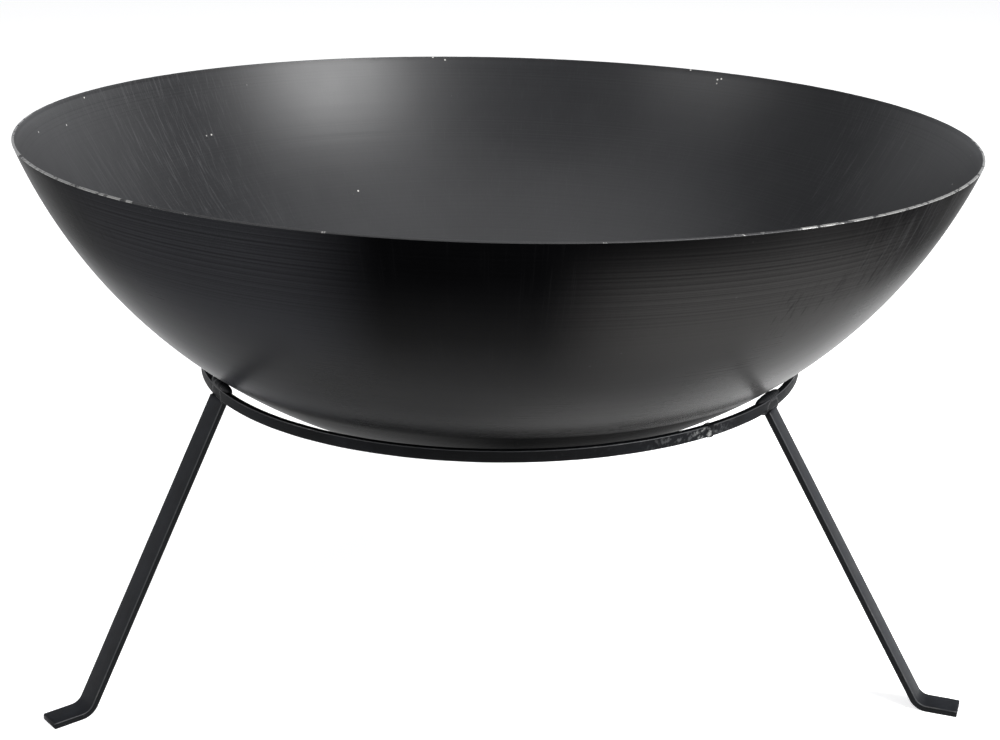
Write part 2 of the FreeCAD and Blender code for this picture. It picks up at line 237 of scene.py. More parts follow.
def paint_outside():
    """Satin black paint on spun sheet, with painted reflection and shade: black high at the front, greyer at
    the sides and lower down.
    """
    n = Nodes("bowl_paint_outside")
    point, around, arc = bowl_coordinates(n)
    cloud = n.noise(7.0, 5.0, 0.6, vector=point)
    rings = n.noise(900.0, 3.0, 0.7, w=arc)
    broad_rings = n.noise(130.0, 2.0, 0.5, w=arc)
    high_right = n.times(near_azimuth(n, around, LESS_REFLECTION_RIGHT, 8, 22), n.ramp(arc, 0.40, 0.45, smooth=True))
    painted_reflection = outside_painted_reflection(n, around, arc, rings, high_right)
    colour = outside_colour(n, around, arc, cloud, painted_reflection)
    colour = outside_marks(n, colour, point, around, arc, cloud)
    # Inside the hoop the sheet is painted dead black: painted shade and the hoop's painted reflection.
    black = n.ramp(arc, 0.284, 0.265, smooth=True)
    colour = n.mix(n.times(black, 0.92), colour, (0.0006, 0.0006, 0.0007))
    specular = outside_gloss(n, around, arc, black, high_right)
    rough = n.ramp(n.maths("ADD", cloud, n.times(rings, 0.35)), 0.45, 0.85, 0.25, 0.32)
    normal = n.bump(rings, 0.000004)
    normal = n.bump(broad_rings, 0.00003, normal=normal)
    normal = n.bump(n.noise(1400.0, 2.0, 0.5, vector=point), 0.000004, normal=normal)
    return n.finish(colour, rough, normal, {"Specular IOR Level": specular})


def outside_painted_reflection(n, around, arc, rings, high_right):
    """How far painted reflection lightens the paint: more away from the front and lower down, less high up at
    the two sides.
    """
    low_down = n.ramp(arc, ARC_LENGTH - 0.06, ARC_LENGTH - 0.27, smooth=True)
    # Away from the front the painted reflection grows; the front stays black as painted shade.
    away_from_front = n.ramp(near_azimuth(n, around, DARK_FRONT, 2, 50), 1.0, 0.0, 0.0, 0.55)
    painted_reflection = n.maths("ADD", n.times(low_down, 0.85), away_from_front, clamp=True)
    painted_reflection = n.times(painted_reflection, n.ramp(rings, 0.3, 0.7, 0.82, 1.12))
    painted_reflection = n.times(painted_reflection, n.ramp(high_right, 0.0, 1.0, 1.0, 0.35))
    high_left = n.times(near_azimuth(n, around, LESS_REFLECTION_LEFT, 6, 20), n.ramp(arc, 0.39, 0.45, smooth=True))
    return n.times(painted_reflection, n.ramp(high_left, 0.0, 1.0, 1.0, 0.3))


def outside_colour(n, around, arc, cloud, painted_reflection):
    """Black paint lightened by painted reflection, warmer at the right and cooler at the left, with a greyer
    band part way down and grey patches at the front, all painted reflection.
    """
    clouded = n.ramp(cloud, 0.35, 0.7)
    plain_black = n.mix(clouded, (0.0004, 0.0004, 0.0005), (0.0009, 0.0009, 0.0011))
    reflected_grey = n.mix(clouded, (0.0130, 0.0131, 0.0135), (0.0190, 0.0191, 0.0196))
    warm = n.times(near_azimuth(n, around, WARM_RIGHT, 14, 46), 0.6)
    cool = n.times(near_azimuth(n, around, COOL_LEFT, 14, 46), 0.6)
    reflected_grey = n.mix(warm, reflected_grey, (0.0330, 0.0322, 0.0315))
    reflected_grey = n.mix(cool, reflected_grey, (0.0118, 0.0126, 0.0160))
    body = n.mix(painted_reflection, plain_black, reflected_grey)
    above = n.ramp(arc, 0.33, 0.41, smooth=True)
    grey_left = n.times(near_azimuth(n, around, GREY_LEFT, 2, 22), above)
    grey_right = n.times(near_azimuth(n, around, GREY_RIGHT, 3, 25), n.ramp(arc, 0.49, 0.43, smooth=True))
    grey_right = n.times(grey_right, above)
    band = n.times(n.ramp(arc, 0.345, 0.385, smooth=True), n.ramp(arc, 0.46, 0.41, smooth=True))
    body = n.mix(n.times(band, 0.22), body, (0.0150, 0.0148, 0.0150))
    body = n.mix(grey_left, body, (0.0172, 0.0176, 0.0196))
    return n.mix(grey_right, body, (0.0248, 0.0243, 0.0238))


def outside_marks(n, colour, point, around, arc, cloud):
    """The colour with turned lines under the rim, pale rub marks, hairlines and specks, and dark scores."""
    streaks = n.noise(1.0, 3.0, 0.6, vector=streak_vector(n, around, arc, 150.0, 14.0))
    hairlines = n.noise(1.0, 2.0, 0.5, vector=streak_vector(n, around, arc, 420.0, 14.0))
    scores = n.noise(1.0, 3.0, 0.6, vector=streak_vector(n, around, arc, 170.0, 34.0, -70.0))
    left = near_azimuth(n, around, RUBBED_LEFT, 6, 26)
    right = near_azimuth(n, around, RUBBED_RIGHT, 6, 24)
    upper = n.ramp(arc, ARC_LENGTH - 0.13, ARC_LENGTH - 0.03, smooth=True)
    rub = n.times(n.either(n.times(left, 0.4), right), upper)
    marks = n.times(n.ramp(streaks, 0.52, 0.72), rub)
    lines = n.times(n.ramp(hairlines, 0.62, 0.7), n.ramp(cloud, 0.45, 0.65))
    speck_zone = n.ramp(n.noise(26.0, 2.0, 0.5, vector=point), 0.6, 0.68)
    speck = n.times(n.speckle(point, 95.0, 0.1, 0.05), speck_zone)
    pale = n.maths("ADD", n.times(marks, 0.26), n.times(lines, 0.03), clamp=True)
    pale = n.maths("ADD", pale, n.times(speck, 0.2), clamp=True)
    turned = n.ramp(n.noise(620.0, 3.0, 0.75, w=arc), 0.44, 0.60)
    grooves = n.times(turned, n.ramp(arc, ARC_LENGTH - 0.10, ARC_LENGTH - 0.025, 0.12, 1.0, smooth=True))
    colour = n.mix(n.times(grooves, 0.42), colour, (0.0012, 0.0012, 0.0014))
    colour = n.mix(pale, colour, (0.060, 0.060, 0.062))
    scored = n.times(n.either(left, right), upper)
    patch = n.times(near_azimuth(n, around, SCORED_RIGHT, 2, 7), n.ramp(arc, 0.375, 0.40, smooth=True))
    patch = n.times(patch, n.ramp(arc, 0.445, 0.42, 0.0, 0.5, smooth=True))
    score = n.times(n.ramp(scores, 0.56, 0.64), n.either(scored, patch))
    return n.mix(n.times(score, 0.8), colour, (0.0006, 0.0006, 0.0008))


def outside_gloss(n, around, arc, black, high_right):
    """The specular level: least under the rim and inside the hoop, where the front left keeps a sheen."""
    gloss = n.ramp(arc, ARC_LENGTH - 0.05, ARC_LENGTH - 0.16, 0.0035, 0.032, smooth=True)
    matt_left = n.times(near_azimuth(n, around, MATT_LEFT, 10, 36), n.ramp(arc, 0.37, 0.31, smooth=True))
    gloss = n.times(gloss, n.ramp(matt_left, 0.0, 1.0, 1.0, 0.4))
    gloss = n.times(gloss, n.ramp(high_right, 0.0, 1.0, 1.0, 0.25))
    sheen = n.maths("POWER", near_azimuth(n, around, SHEEN_LEFT, 2, 42), 3.0)
    kept = n.maths("SUBTRACT", 1.0, n.times(black, n.ramp(sheen, 0.0, 1.0, 0.985, 0.62)))
    return n.times(gloss, kept)


def paint_inside():
    """The same paint inside, duller, with crossing scratches, paler near the rim at the left and right,
    turned lines and chipped white specks.
    """
    n = Nodes("bowl_paint_inside")
    point, around, arc = bowl_coordinates(n)
    cloud = n.noise(5.0, 5.0, 0.62, vector=point)
    rings = n.noise(700.0, 3.0, 0.7, w=arc)
    broad_rings = n.noise(90.0, 2.0, 0.5, w=arc)
    rim_rings = n.noise(330.0, 3.0, 0.7, w=arc)
    scuffs = n.noise(1.0, 4.0, 0.65, vector=streak_vector(n, around, arc, 210.0, 13.0, 60.0))
    crossing = n.noise(1.0, 3.0, 0.6, vector=streak_vector(n, around, arc, 260.0, 16.0, -45.0))
    scratch_left = near_azimuth(n, around, SCRATCHED_INSIDE_LEFT, 8, 34)
    scratch_right = near_azimuth(n, around, SCRATCHED_INSIDE_RIGHT, 8, 26)
    scratched = n.either(n.ramp(scuffs, 0.54, 0.74), n.ramp(crossing, 0.60, 0.74))
    scuff = n.times(scratched, n.ramp(n.either(scratch_left, scratch_right), 0.0, 1.0, 0.12, 1.0))
    near_rim = n.ramp(arc, ARC_LENGTH - 0.05, ARC_LENGTH - 0.01)
    zone = n.maths("ADD", n.noise(30.0, 2.0, 0.5, vector=point), n.times(near_rim, 0.08))
    speck = n.times(n.speckle(point, 120.0, 0.13, 0.07), n.ramp(zone, 0.69, 0.74))
    dark = n.mix(n.ramp(cloud, 0.3, 0.72), (0.0105, 0.0108, 0.0122), (0.0180, 0.0184, 0.0202))
    ringed = n.mix(n.times(n.ramp(rings, 0.4, 0.75), 0.4), dark, (0.026, 0.026, 0.028))
    pale_left = near_azimuth(n, around, PALE_INSIDE_LEFT, 16, 40)
    pale_right = near_azimuth(n, around, PALE_INSIDE_RIGHT, 14, 30)
    paler_near_rim = n.times(n.ramp(arc, ARC_LENGTH - 0.16, ARC_LENGTH - 0.01), n.either(pale_left, pale_right))
    lightened = n.mix(n.times(paler_near_rim, 0.85), ringed, (0.040, 0.040, 0.041))
    turned = n.times(n.ramp(rim_rings, 0.52, 0.60), n.ramp(arc, ARC_LENGTH - 0.045, ARC_LENGTH - 0.004))
    lightened = n.mix(n.times(turned, 0.55), lightened, (0.0075, 0.0076, 0.0085))
    scuffed = n.mix(n.times(scuff, 0.55), lightened, (0.080, 0.080, 0.083))
    colour = n.mix(speck, scuffed, (0.60, 0.59, 0.56))
    rough = n.ramp(n.maths("ADD", cloud, n.times(scuff, 0.3)), 0.35, 0.95, 0.36, 0.46)
    normal = n.bump(rings, 0.000008)
    normal = n.bump(broad_rings, 0.00005, normal=normal)
    normal = n.bump(n.noise(1200.0, 2.0, 0.5, vector=point), 0.000006, normal=normal)
    return n.finish(colour, rough, normal, {"Specular IOR Level": 0.35})


def worn_rim():
    """The cut edge: paint that has chipped away here and there down to bright steel."""
    n = Nodes("bowl_rim_worn")
    point, around, _ = bowl_coordinates(n)
    chips = n.noise(70.0, 5.0, 0.7, vector=point)
    fine = n.noise(600.0, 3.0, 0.6, vector=point)
    bare_left = near_azimuth(n, around, BARE_RIM_LEFT, 22, 38)
    bare_right = near_azimuth(n, around, BARE_RIM_RIGHT, 22, 38)
    worn = n.ramp(n.either(bare_left, bare_right), 0.0, 1.0, 0.0, 0.21)
    bare = n.ramp(n.maths("ADD", n.maths("ADD", chips, worn), n.times(fine, 0.15)), 0.70, 0.78)
    steel = n.mix(fine, (0.17, 0.17, 0.166), (0.46, 0.455, 0.44))
    colour = n.mix(bare, (0.006, 0.006, 0.007), steel)
    rough = n.ramp(bare, 0.0, 1.0, 0.55, 0.34)
    normal = n.bump(n.maths("ADD", fine, n.times(bare, -0.6)), 0.00003)
    return n.finish(colour, rough, normal, {"Metallic": n.times(bare, 0.75)})


def bar_paint(name, dark, light, scuffed, specular, hoop=False):
    """Matt blue-black paint on hot-rolled flat bar: mottled and pitted, with scuffs and pale specks."""
    n = Nodes(name)
    point = n.add("ShaderNodeTexCoord").outputs["Object"]
    mottle = n.noise(55.0, 6.0, 0.66, vector=point)
    pits = n.noise(260.0, 4.0, 0.6, vector=point)
    grain = n.noise(1500.0, 2.0, 0.5, vector=point)
    patches = n.noise(11.0, 3.0, 0.6, vector=point)
    colour = n.mix(n.ramp(mottle, 0.34, 0.68), dark, light)
    scuff = n.times(n.ramp(pits, 0.60, 0.72), n.ramp(patches, 0.50, 0.66))
    colour = n.mix(n.times(scuff, 0.6), colour, scuffed)
    speck = n.times(n.speckle(point, 150.0, 0.12, 0.07), n.ramp(patches, 0.63, 0.68))
    colour = n.mix(n.times(speck, 0.5), colour, (0.42, 0.41, 0.38))
    if hoop:
        colour = hoop_wear(n, colour, n.direction_round_axis(point), pits)
    rough = n.ramp(n.maths("ADD", mottle, n.times(pits, 0.4)), 0.4, 1.0, 0.46, 0.68)
    normal = n.bump(mottle, 0.00012)
    normal = n.bump(pits, 0.00005, normal=normal)
    normal = n.bump(grain, 0.00001, normal=normal)
    return n.finish(colour, rough, normal, {"Specular IOR Level": specular})


def hoop_wear(n, colour, around, pits):
    """The hoop's colour, painted nearly black at the front as painted shade, and scraped grey and bright
    beside the closing weld.
    """
    black = n.times(near_azimuth(n, around, BLACK_HOOP_FRONT, 6, 30), 0.7)
    colour = n.mix(black, colour, (0.0012, 0.0012, 0.0014))
    scraped = n.times(n.ramp(pits, 0.50, 0.60), near_azimuth(n, around, SCRAPED_HOOP, 3, 11))
    colour = n.mix(n.times(scraped, 0.55), colour, (0.065, 0.066, 0.068))
    bright = n.times(n.ramp(pits, 0.55, 0.66), near_azimuth(n, around, SCRAPED_BRIGHT, 0.6, 3.2))
    return n.mix(n.times(bright, 0.45), colour, (0.30, 0.30, 0.29))


def bar_corner():
    """The bar's rounded corners, where the paint is thin and rubbed through in short stretches."""
    n = Nodes("stand_paint_corner")
    point = n.add("ShaderNodeTexCoord").outputs["Object"]
    stretch = n.noise(28.0, 5.0, 0.7, vector=point)
    fine = n.noise(420.0, 3.0, 0.6, vector=point)
    bare = n.ramp(n.maths("ADD", stretch, n.times(fine, 0.2)), 0.66, 0.76)
    base = n.mix(n.noise(60.0, 4.0, 0.6, vector=point), (0.006, 0.0065, 0.008), (0.015, 0.016, 0.019))
    colour = n.mix(n.times(bare, 0.5), base, (0.12, 0.118, 0.115))
    rough = n.ramp(bare, 0.0, 1.0, 0.5, 0.38)
    return n.finish(colour, rough, n.bump(fine, 0.00003), {"Metallic": n.times(bare, 0.5)})


def weld_paint():
    """Painted weld beads with rusty and bright spots."""
    n = Nodes("weld_paint")
    point = n.add("ShaderNodeTexCoord").outputs["Object"]
    cloud = n.noise(120.0, 5.0, 0.62, vector=point)
    fine = n.noise(700.0, 3.0, 0.6, vector=point)
    patches = n.noise(48.0, 3.0, 0.6, vector=point)
    colour = n.mix(n.ramp(cloud, 0.35, 0.7), (0.003, 0.0032, 0.0038), (0.010, 0.0105, 0.0120))
    rust = n.ramp(n.maths("ADD", patches, n.times(fine, 0.12)), 0.66, 0.74)
    colour = n.mix(n.times(rust, 0.6), colour, (0.115, 0.060, 0.035))
    bright = n.times(n.ramp(fine, 0.60, 0.68), n.ramp(patches, 0.56, 0.62))
    colour = n.mix(n.times(bright, 0.6), colour, (0.36, 0.355, 0.34))
    rough = n.ramp(cloud, 0.3, 0.7, 0.42, 0.6)
    normal = n.bump(cloud, 0.00008)
    normal = n.bump(fine, 0.00002, normal=normal)
    return n.finish(colour, rough, normal, {"Specular IOR Level": 0.14})


# ---------------------------------------------------------------- mesh helpers
def make_object(name, verts, faces, materials, face_materials=None, uvs=None):
    """Smooth-shaded mesh object; uvs is a list with one pair per face corner."""
    mesh = bpy.data.meshes.new(name)
    mesh.from_pydata([tuple(v) for v in verts], [], faces)
    for material in materials:
        mesh.materials.append(material)
    mesh.polygons.foreach_set("use_smooth", [True] * len(faces))
    if face_materials:
        mesh.polygons.foreach_set("material_index", face_materials)
    if uvs:
        layer = mesh.uv_layers.new(name="UVMap")
        layer.data.foreach_set("uv", [value for pair in uvs for value in pair])
    mesh.update()
    item = bpy.data.objects.new(name, mesh)
    bpy.context.scene.collection.objects.link(item)
    return item


def stand_for(item, node, body):
    """Put the piece in place of a CAD node, on its body."""
    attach(item, body)
    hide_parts(node)


def direction_at(angle):
    """Level unit vector at an azimuth in radians."""
    return Vector((math.cos(angle), math.sin(angle), 0.0))


def up(height):
    return Vector((0.0, 0.0, height))


def sweep(stations, material_of_side=lambda side: 0, cap_material=0):
    """Skin over closed cross-sections that all have the same number of points, capped at both ends."""
    count = len(stations[0])
    verts = [point for station in stations for point in station]
    faces, kinds = [], []
    for i in range(len(stations) - 1):
        for j in range(count):
            k = (j + 1) % count
            a, b = i * count, (i + 1) * count
            faces.append((a + j, a + k, b + k, b + j))
            kinds.append(material_of_side(j))
    last = (len(stations) - 1) * count
    faces.append(tuple(reversed(range(count))))
    faces.append(tuple(last + j for j in range(count)))
    kinds += [cap_material] * 2
    return verts, faces, kinds


def joined(first, second):
    """Two skins as one."""
    verts, faces, kinds = first
    more_verts, more_faces, more_kinds = second
    moved = [tuple(corner + len(verts) for corner in face) for face in more_faces]
    return verts + more_verts, faces + moved, kinds + more_kinds


def bar_section(half_a, half_b, corner):
    """Rounded rectangle as (a, b, side); side is the face that starts at the point, or None on a corner."""
    corner_steps = 4
    points = []
    for quadrant, (sign_a, sign_b) in enumerate(((1, 1), (-1, 1), (-1, -1), (1, -1))):
        centre_a, centre_b = sign_a * (half_a - corner), sign_b * (half_b - corner)
        for step in range(corner_steps + 1):
            angle = math.pi / 2 * (quadrant + step / corner_steps)
            side = quadrant if step == corner_steps else None
            points.append((centre_a + corner * math.cos(angle), centre_b + corner * math.sin(angle), side))
    return points


def bar_kind(section):
    """Material index of each side of a bar: 0 broad faces, 1 narrow sides, 2 rounded corners."""
    def kind(j):
        side = section[j][2]
        if side is None:
            return 2
        return 0 if side in (0, 2) else 1
    return kind


def uneven(point, inwards, depth, scale, seed):
    """The point moved inwards by up to depth, by smooth noise, as rolled bar is never quite flat."""
    value = noise.noise(Vector(point) * scale + Vector((seed, 0.0, 0.0)))
    return Vector(point) + inwards * depth * (0.5 + 0.5 * value)


def lumpy(spot, centre, depth, scale, seed=0.0):
    """The point of a bead moved towards its middle by up to depth, by smooth noise."""
    lump = noise.noise(spot * scale + Vector((seed, 0.0, 0.0)))
    return spot - (spot - centre).normalized() * depth * (0.5 + 0.5 * lump)


# ---------------------------------------------------------------- bowl
def wall_point(angle, depth, on_wall, side):
    """A point of the sheet as (radius, height, arc length, side), depth metres in from the outer face."""
    radius = (WALL_RADIUS if on_wall else FLOOR_RADIUS) - depth
    centre = WALL_CENTRE if on_wall else (0.0, 0.0)
    arc = FLOOR_RADIUS * min(angle, FLOOR_END) + WALL_RADIUS * max(0.0, angle - FLOOR_END)
    return centre[0] + radius * math.sin(angle), centre[1] - radius * math.cos(angle), arc, side


def rim_edge():
    """The cut edge's points, round its outer corner and then round its inner one."""
    steps = 5
    edge = []
    for inner in (False, True):
        for step in range(steps + 1):
            angle = math.pi / 2 * step / steps
            across, along = RIM_ROUNDING * (1 - math.cos(angle)), RIM_ROUNDING * (1 - math.sin(angle))
            depth, back = (GAUGE - along, across) if inner else (across, along)
            edge.append(wall_point(WALL_END - back / WALL_RADIUS, depth, True, "edge"))
    return edge[1:-1]


def bowl_line():
    """The sheet's outline from the pole up the outside, over the rim and down the inside."""
    floor_steps, wall_steps = 70, 40
    floor_angles = [FLOOR_END * (i + 1) / floor_steps for i in range(floor_steps)]
    wall_span = WALL_END - RIM_ROUNDING / WALL_RADIUS - FLOOR_END
    wall_angles = [FLOOR_END + wall_span * (i + 1) / wall_steps for i in range(wall_steps)]
    places = [(angle, False) for angle in floor_angles] + [(angle, True) for angle in wall_angles]
    outer = [wall_point(angle, 0.0, on_wall, "outside") for angle, on_wall in places]
    inner = [wall_point(angle, GAUGE, on_wall, "inside") for angle, on_wall in reversed(places)]
    return outer + rim_edge() + inner


def build_bowl():
    """Lathed sheet bowl with a rounded, ragged rim, tilted about the centre of its floor's sphere."""
    line = bowl_line()
    segments = 480
    nick_depth = 0.00022
    slots = {"outside": 0, "inside": 1, "edge": 2}
    verts, faces, kinds, uvs = [], [], [], []
    for radius, height, _, side in line:
        for s in range(segments):
            direction = direction_at(2 * math.pi * s / segments)
            nick = 0.0
            if side == "edge":
                ragged = noise.noise(direction * 60.0) * 0.6 + noise.noise(direction * 210.0) * 0.4
                nick = nick_depth * max(0.0, ragged)
            verts.append(direction * (radius - nick * 0.3) + up(height - nick))
    for i, ((*_, arc, side), (*_, next_arc, next_side)) in enumerate(zip(line, line[1:])):
        kind = slots[side if side == next_side else "edge"]
        for s in range(segments):
            t = (s + 1) % segments
            a, b = i * segments, (i + 1) * segments
            faces.append((a + s, a + t, b + t, b + s))
            kinds.append(kind)
            u, v = s / segments, (s + 1) / segments
            uvs += [(u, arc), (v, arc), (v, next_arc), (u, next_arc)]
    # Each face of the sheet is closed by a fan of triangles at its pole.
    for ring, side, depth in ((0, "outside", 0.0), (len(line) - 1, "inside", GAUGE)):
        pole, start, arc = len(verts), ring * segments, line[ring][2]
        verts.append(up(depth - FLOOR_RADIUS))
        for s in range(segments):
            here, after = start + s, start + (s + 1) % segments
            faces.append((after, here, pole) if side == "outside" else (here, after, pole))
            kinds.append(slots[side])
            u = s / segments
            uvs += [(u, arc), (u, arc), (u, 0.0)]
    place = Matrix.Translation(BOWL_CENTRE) @ Matrix.Rotation(BOWL_TILT, 4, "Y")
    materials = [paint_outside(), paint_inside(), worn_rim()]
    bowl = make_object("bowl_spun", [place @ spot for spot in verts], faces, materials, kinds, uvs)
    stand_for(bowl, "bowl", "bowl")


# ---------------------------------------------------------------- stand
def build_hoop(materials):
    """Flat bar bent on edge; the broad face that shows is the hoop's outer face."""
    section = bar_section(HOOP_HALF_HEIGHT, HOOP_THICKNESS / 2, BAR_CORNER)
    gap = CLOSING_GAP / 2 / HOOP_RADIUS
    steps = 420
    stations = []
    for i in range(steps + 1):
        out = direction_at(CLOSING_AZIMUTH + gap + (2 * math.pi - 2 * gap) * i / steps)
        centre = out * HOOP_MIDDLE_RADIUS + up(HOOP_MIDDLE_HEIGHT)
        station = []
        for a, b, _ in section:
            offset = up(a) + out * b
            inwards = -offset.normalized()
            station.append(uneven(centre + offset, inwards, depth=0.00018, scale=55.0, seed=3.0))
        stations.append(station)
    verts, faces, kinds = sweep(stations, bar_kind(section), cap_material=1)
    hoop = make_object("ring_bar", verts, faces, materials, kinds)
    stand_for(hoop, "support_ring", "stand")


def leg_line():
    """Middle line of a leg's bar in its own plane, as (point, direction), from under the hoop to the toe."""
    shank_steps, bend_steps, foot_steps = 60, 12, 8
    outside = BEND_RADIUS + LEG_THICKNESS
    middle = BEND_RADIUS + LEG_THICKNESS / 2
    top_in = HOOP_RADIUS * math.cos(LEG_TURN) - LEG_THICKNESS / math.cos(LEG_LEAN)
    rise = outside * (1 - math.sin(LEG_LEAN)) + HOOP_UNDERSIDE * math.sin(LEG_LEAN)
    bend_x = top_in + rise / math.cos(LEG_LEAN)

    def on_bend(angle):
        point = Vector((bend_x - middle * math.cos(angle), 0.0, outside - middle * math.sin(angle)))
        return point, Vector((math.sin(angle), 0.0, -math.cos(angle)))

    bend_start, down = on_bend(LEG_LEAN)
    length = (HOOP_UNDERSIDE - bend_start.z) / math.cos(LEG_LEAN)
    line = [(bend_start - down * length * (1 - i / shank_steps), down) for i in range(shank_steps + 1)]
    for i in range(1, bend_steps + 1):
        line.append(on_bend(LEG_LEAN + (math.pi / 2 - LEG_LEAN) * i / bend_steps))
    for i in range(1, foot_steps + 1):
        point = Vector((bend_x + FOOT_LENGTH * i / foot_steps, 0.0, LEG_THICKNESS / 2))
        line.append((point, Vector((1.0, 0.0, 0.0))))
    return line


def build_leg(label, azimuth, materials):
    """Bent flat bar, cut level under the hoop and square at the toe, with a small arris round the toe."""
    place = Matrix.Rotation(math.radians(azimuth) + LEG_TURN, 4, "Z")
    section = bar_section(LEG_WIDTH / 2, LEG_THICKNESS / 2, BAR_CORNER)
    beside = Vector((0.0, -HOOP_RADIUS * math.sin(LEG_TURN), 0.0))
    line = leg_line()
    stations = []
    for number, (point, direction) in enumerate(line):
        out = Vector((-direction.z, 0.0, direction.x))
        station = []
        for a, b, _ in section:
            offset = Vector((0.0, a, 0.0)) + out * b
            inwards = -offset.normalized()
            spot = uneven(point + offset, inwards, depth=0.0002, scale=45.0, seed=float(azimuth))
            if number == 0:
                spot += direction * ((spot.z - HOOP_UNDERSIDE) / -direction.z)
            station.append(spot)
        stations.append(station)
    toe, direction = line[-1]
    stations[-1] = [spot - direction * TOE_ARRIS for spot in stations[-1]]
    narrower, thinner = 1 - TOE_ARRIS / (LEG_WIDTH / 2), 1 - TOE_ARRIS / (LEG_THICKNESS / 2)
    stations.append([toe + Vector((0.0, a * narrower, b * thinner)) for a, b, _ in section])
    stations = [[place @ (spot + beside) for spot in station] for station in stations]
    verts, faces, kinds = sweep(stations, bar_kind(section), cap_material=1)
    leg = make_object(f"{label}_bar", verts, faces, materials, kinds)
    stand_for(leg, label, "stand")


def ripple(distance, pitch):
    """Height of a weld's overlapping puddles, from 0 in each valley to 1 on each crest."""
    return math.sin(math.pi * (distance / pitch % 1.0)) ** 0.6


def ground_flush(spot):
    """The point pulled in to the hoop's outer face, which the welds were ground level with."""
    reach = math.hypot(spot.x, spot.y)
    limit = HOOP_RADIUS + GROUND_PROUD
    if spot.z < HOOP_UNDERSIDE or reach <= limit:
        return spot
    return Vector((spot.x * limit / reach, spot.y * limit / reach, spot.z))


def bead_skin(path, radius, ends, seed):
    """Stations of a rippled bead along a list of points, its ends tapering over the given length."""
    count = 24
    pitch = 0.0023
    ripple_depth = 0.0003
    blunt_end = 0.2
    distances = [0.0]
    for before, after in zip(path, path[1:]):
        distances.append(distances[-1] + (after - before).length)
    stations = []
    for i, centre in enumerate(path):
        tangent = (path[min(i + 1, len(path) - 1)] - path[max(i - 1, 0)]).normalized()
        outwards = Vector((centre.x, centre.y, 0.0)).normalized()
        sideways = tangent.cross(outwards).normalized()
        end = min(distances[i], distances[-1] - distances[i])
        rounded = math.sqrt(max(0.0, 1 - (1 - min(1.0, end / ends)) ** 2))
        taper = rounded * (1 - blunt_end) + blunt_end
        valley = 1 - ripple(distances[i] + 0.0004 * math.sin(i), pitch)
        swell = radius * taper - ripple_depth * valley
        station = []
        for j in range(count):
            angle = 2 * math.pi * j / count
            spot = centre + (sideways * math.cos(angle) + outwards * math.sin(angle)) * swell
            station.append(ground_flush(lumpy(spot, centre, depth=0.00025, scale=260.0, seed=seed)))
        stations.append(station)
    return stations


def build_leg_weld(label, azimuth, material):
    """Bead up both sides of the leg and over the hoop's top, and a long low one there as the bowl's seat."""
    low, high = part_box(f"{label}_weld")
    reach = HOOP_RADIUS - WELD_INSET
    half = LEG_WIDTH / 2 / math.cos(LEG_TURN) - WELD_OVERLAP
    bottom, top, corner = low.z + WELD_END_INSET, high.z - WELD_RADIUS, WELD_CORNER

    def on_hoop(along, height):
        return direction_at(math.radians(azimuth) + along / reach) * reach + up(height)

    rise_steps, corner_steps, across_steps, seat_steps = 26, 16, 30, 70
    side = [(half, bottom + (top - corner - bottom) * i / rise_steps) for i in range(rise_steps)]
    for i in range(corner_steps):
        angle = math.pi / 2 * i / corner_steps
        side.append((half - corner + corner * math.cos(angle), top - corner + corner * math.sin(angle)))
    across = [((half - corner) * (1 - 2 * i / across_steps), top) for i in range(across_steps + 1)]
    arch = [on_hoop(*spot) for spot in side + across + [(-y, z) for y, z in reversed(side)]]
    seat_half, seat_height = SEAT_LENGTH / 2 - SEAT_END_INSET, top - SEAT_DROP
    seat = [on_hoop(seat_half * (2 * i / seat_steps - 1), seat_height) for i in range(seat_steps + 1)]
    arch_skin = sweep(bead_skin(arch, WELD_RADIUS, ends=0.0028, seed=azimuth))
    seat_skin = sweep(bead_skin(seat, SEAT_RADIUS, ends=0.014, seed=azimuth + 7.0))
    verts, faces, kinds = joined(arch_skin, seat_skin)
    weld = make_object(f"{label}_bead", verts, faces, [material], kinds)
    stand_for(weld, f"{label}_weld", "stand")


def build_closing_weld(material):
    """Low butt weld round the hoop's joint."""
    half_a, half_b = HOOP_HALF_HEIGHT + CLOSING_PROUD, HOOP_THICKNESS / 2 + CLOSING_PROUD
    steps = 28
    crown = 0.0009
    pitch = 0.0016
    ripple_depth = 0.00012
    stations = []
    for i in range(steps + 1):
        t = 2 * i / steps - 1
        swell = math.sqrt(max(0.0, 1 - t * t))
        along = t * CLOSING_BEAD / 2
        out = direction_at(CLOSING_AZIMUTH + along / HOOP_RADIUS)
        centre = out * HOOP_MIDDLE_RADIUS + up(HOOP_MIDDLE_HEIGHT)
        grow = crown * (swell - 1) - ripple_depth * (1 - ripple(along + 0.01, pitch))
        section = bar_section(half_a + grow, half_b + grow, corner=0.0011)
        skin = [centre + up(a) + out * b for a, b, _ in section]
        stations.append([lumpy(spot, centre, depth=0.0002, scale=420.0) for spot in skin])
    verts, faces, kinds = sweep(stations)
    weld = make_object("ring_joint_bead", verts, faces, [material], kinds)
    stand_for(weld, "ring_closing_weld", "stand")


# ---------------------------------------------------------------- build
build_bowl()
